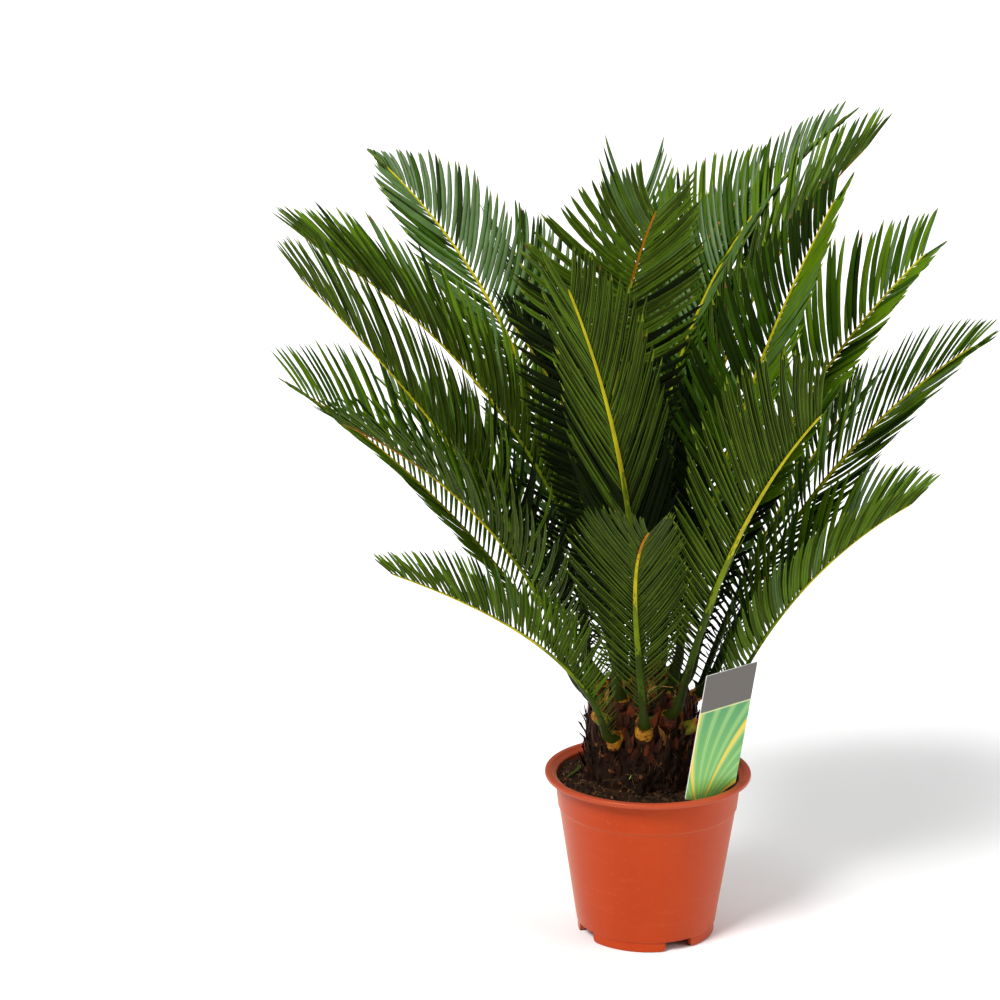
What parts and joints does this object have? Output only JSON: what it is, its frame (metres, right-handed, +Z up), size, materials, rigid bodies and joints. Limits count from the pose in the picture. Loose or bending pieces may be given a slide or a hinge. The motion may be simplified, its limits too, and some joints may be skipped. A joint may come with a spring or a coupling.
{
  "type": "sago palm",
  "caption": "Potted sago palm: a short scaly trunk under a full crown of stiff feather-shaped fronds, in a terracotta-coloured plastic nursery pot with a plain plant label.",
  "frame": {"origin": "on the floor under the middle of the pot, which is also the middle of the whole plant's box", "axes": "+Z up, -Y to the front that the picture shows, +X to the right as seen from the front"},
  "size_m": [0.5767, 0.5514, 0.6821],
  "materials": {
    "pot_plastic": "satin terracotta-coloured plastic",
    "potting_soil": "dark moist peat with pale crumbs",
    "trunk_fibre": "rough brown fibre and papery scales",
    "cut_leaf_base": "dry ochre cut stub",
    "frond_leaf": "stiff leathery leaf with a soft sheen",
    "label_plastic": "thin printed plastic with no lettering"
  },
  "bodies": {
    "root": {"pot": "pot_plastic", "soil": "potting_soil", "trunk": "trunk_fibre", "plant_label": "label_plastic", "leaf_base_left": "cut_leaf_base", "leaf_base_right": "cut_leaf_base", "leaf_base_back": "cut_leaf_base", "frond_left_top": "frond_leaf", "frond_left_upper": "frond_leaf", "frond_left_straight": "frond_leaf", "frond_left_middle": "frond_leaf", "frond_left_wide": "frond_leaf", "frond_left_lowest": "frond_leaf", "frond_right_tall": "frond_leaf", "frond_right_top": "frond_leaf", "frond_right_upper": "frond_leaf", "frond_right_upright": "frond_leaf", "frond_right_straight": "frond_leaf", "frond_right_front": "frond_leaf", "frond_right_wide": "frond_leaf", "frond_right_lowest": "frond_leaf", "frond_front_short": "frond_leaf", "frond_front_long": "frond_leaf", "frond_front_inner": "frond_leaf", "frond_front_dark": "frond_leaf", "frond_back_upright": "frond_leaf", "frond_back_wide": "frond_leaf", "frond_back_lowest": "frond_leaf", "frond_back_left": "frond_leaf", "frond_back_right": "frond_leaf", "frond_back_tall": "frond_leaf", "frond_back_inner": "frond_leaf"}
  },
  "joints": []
}
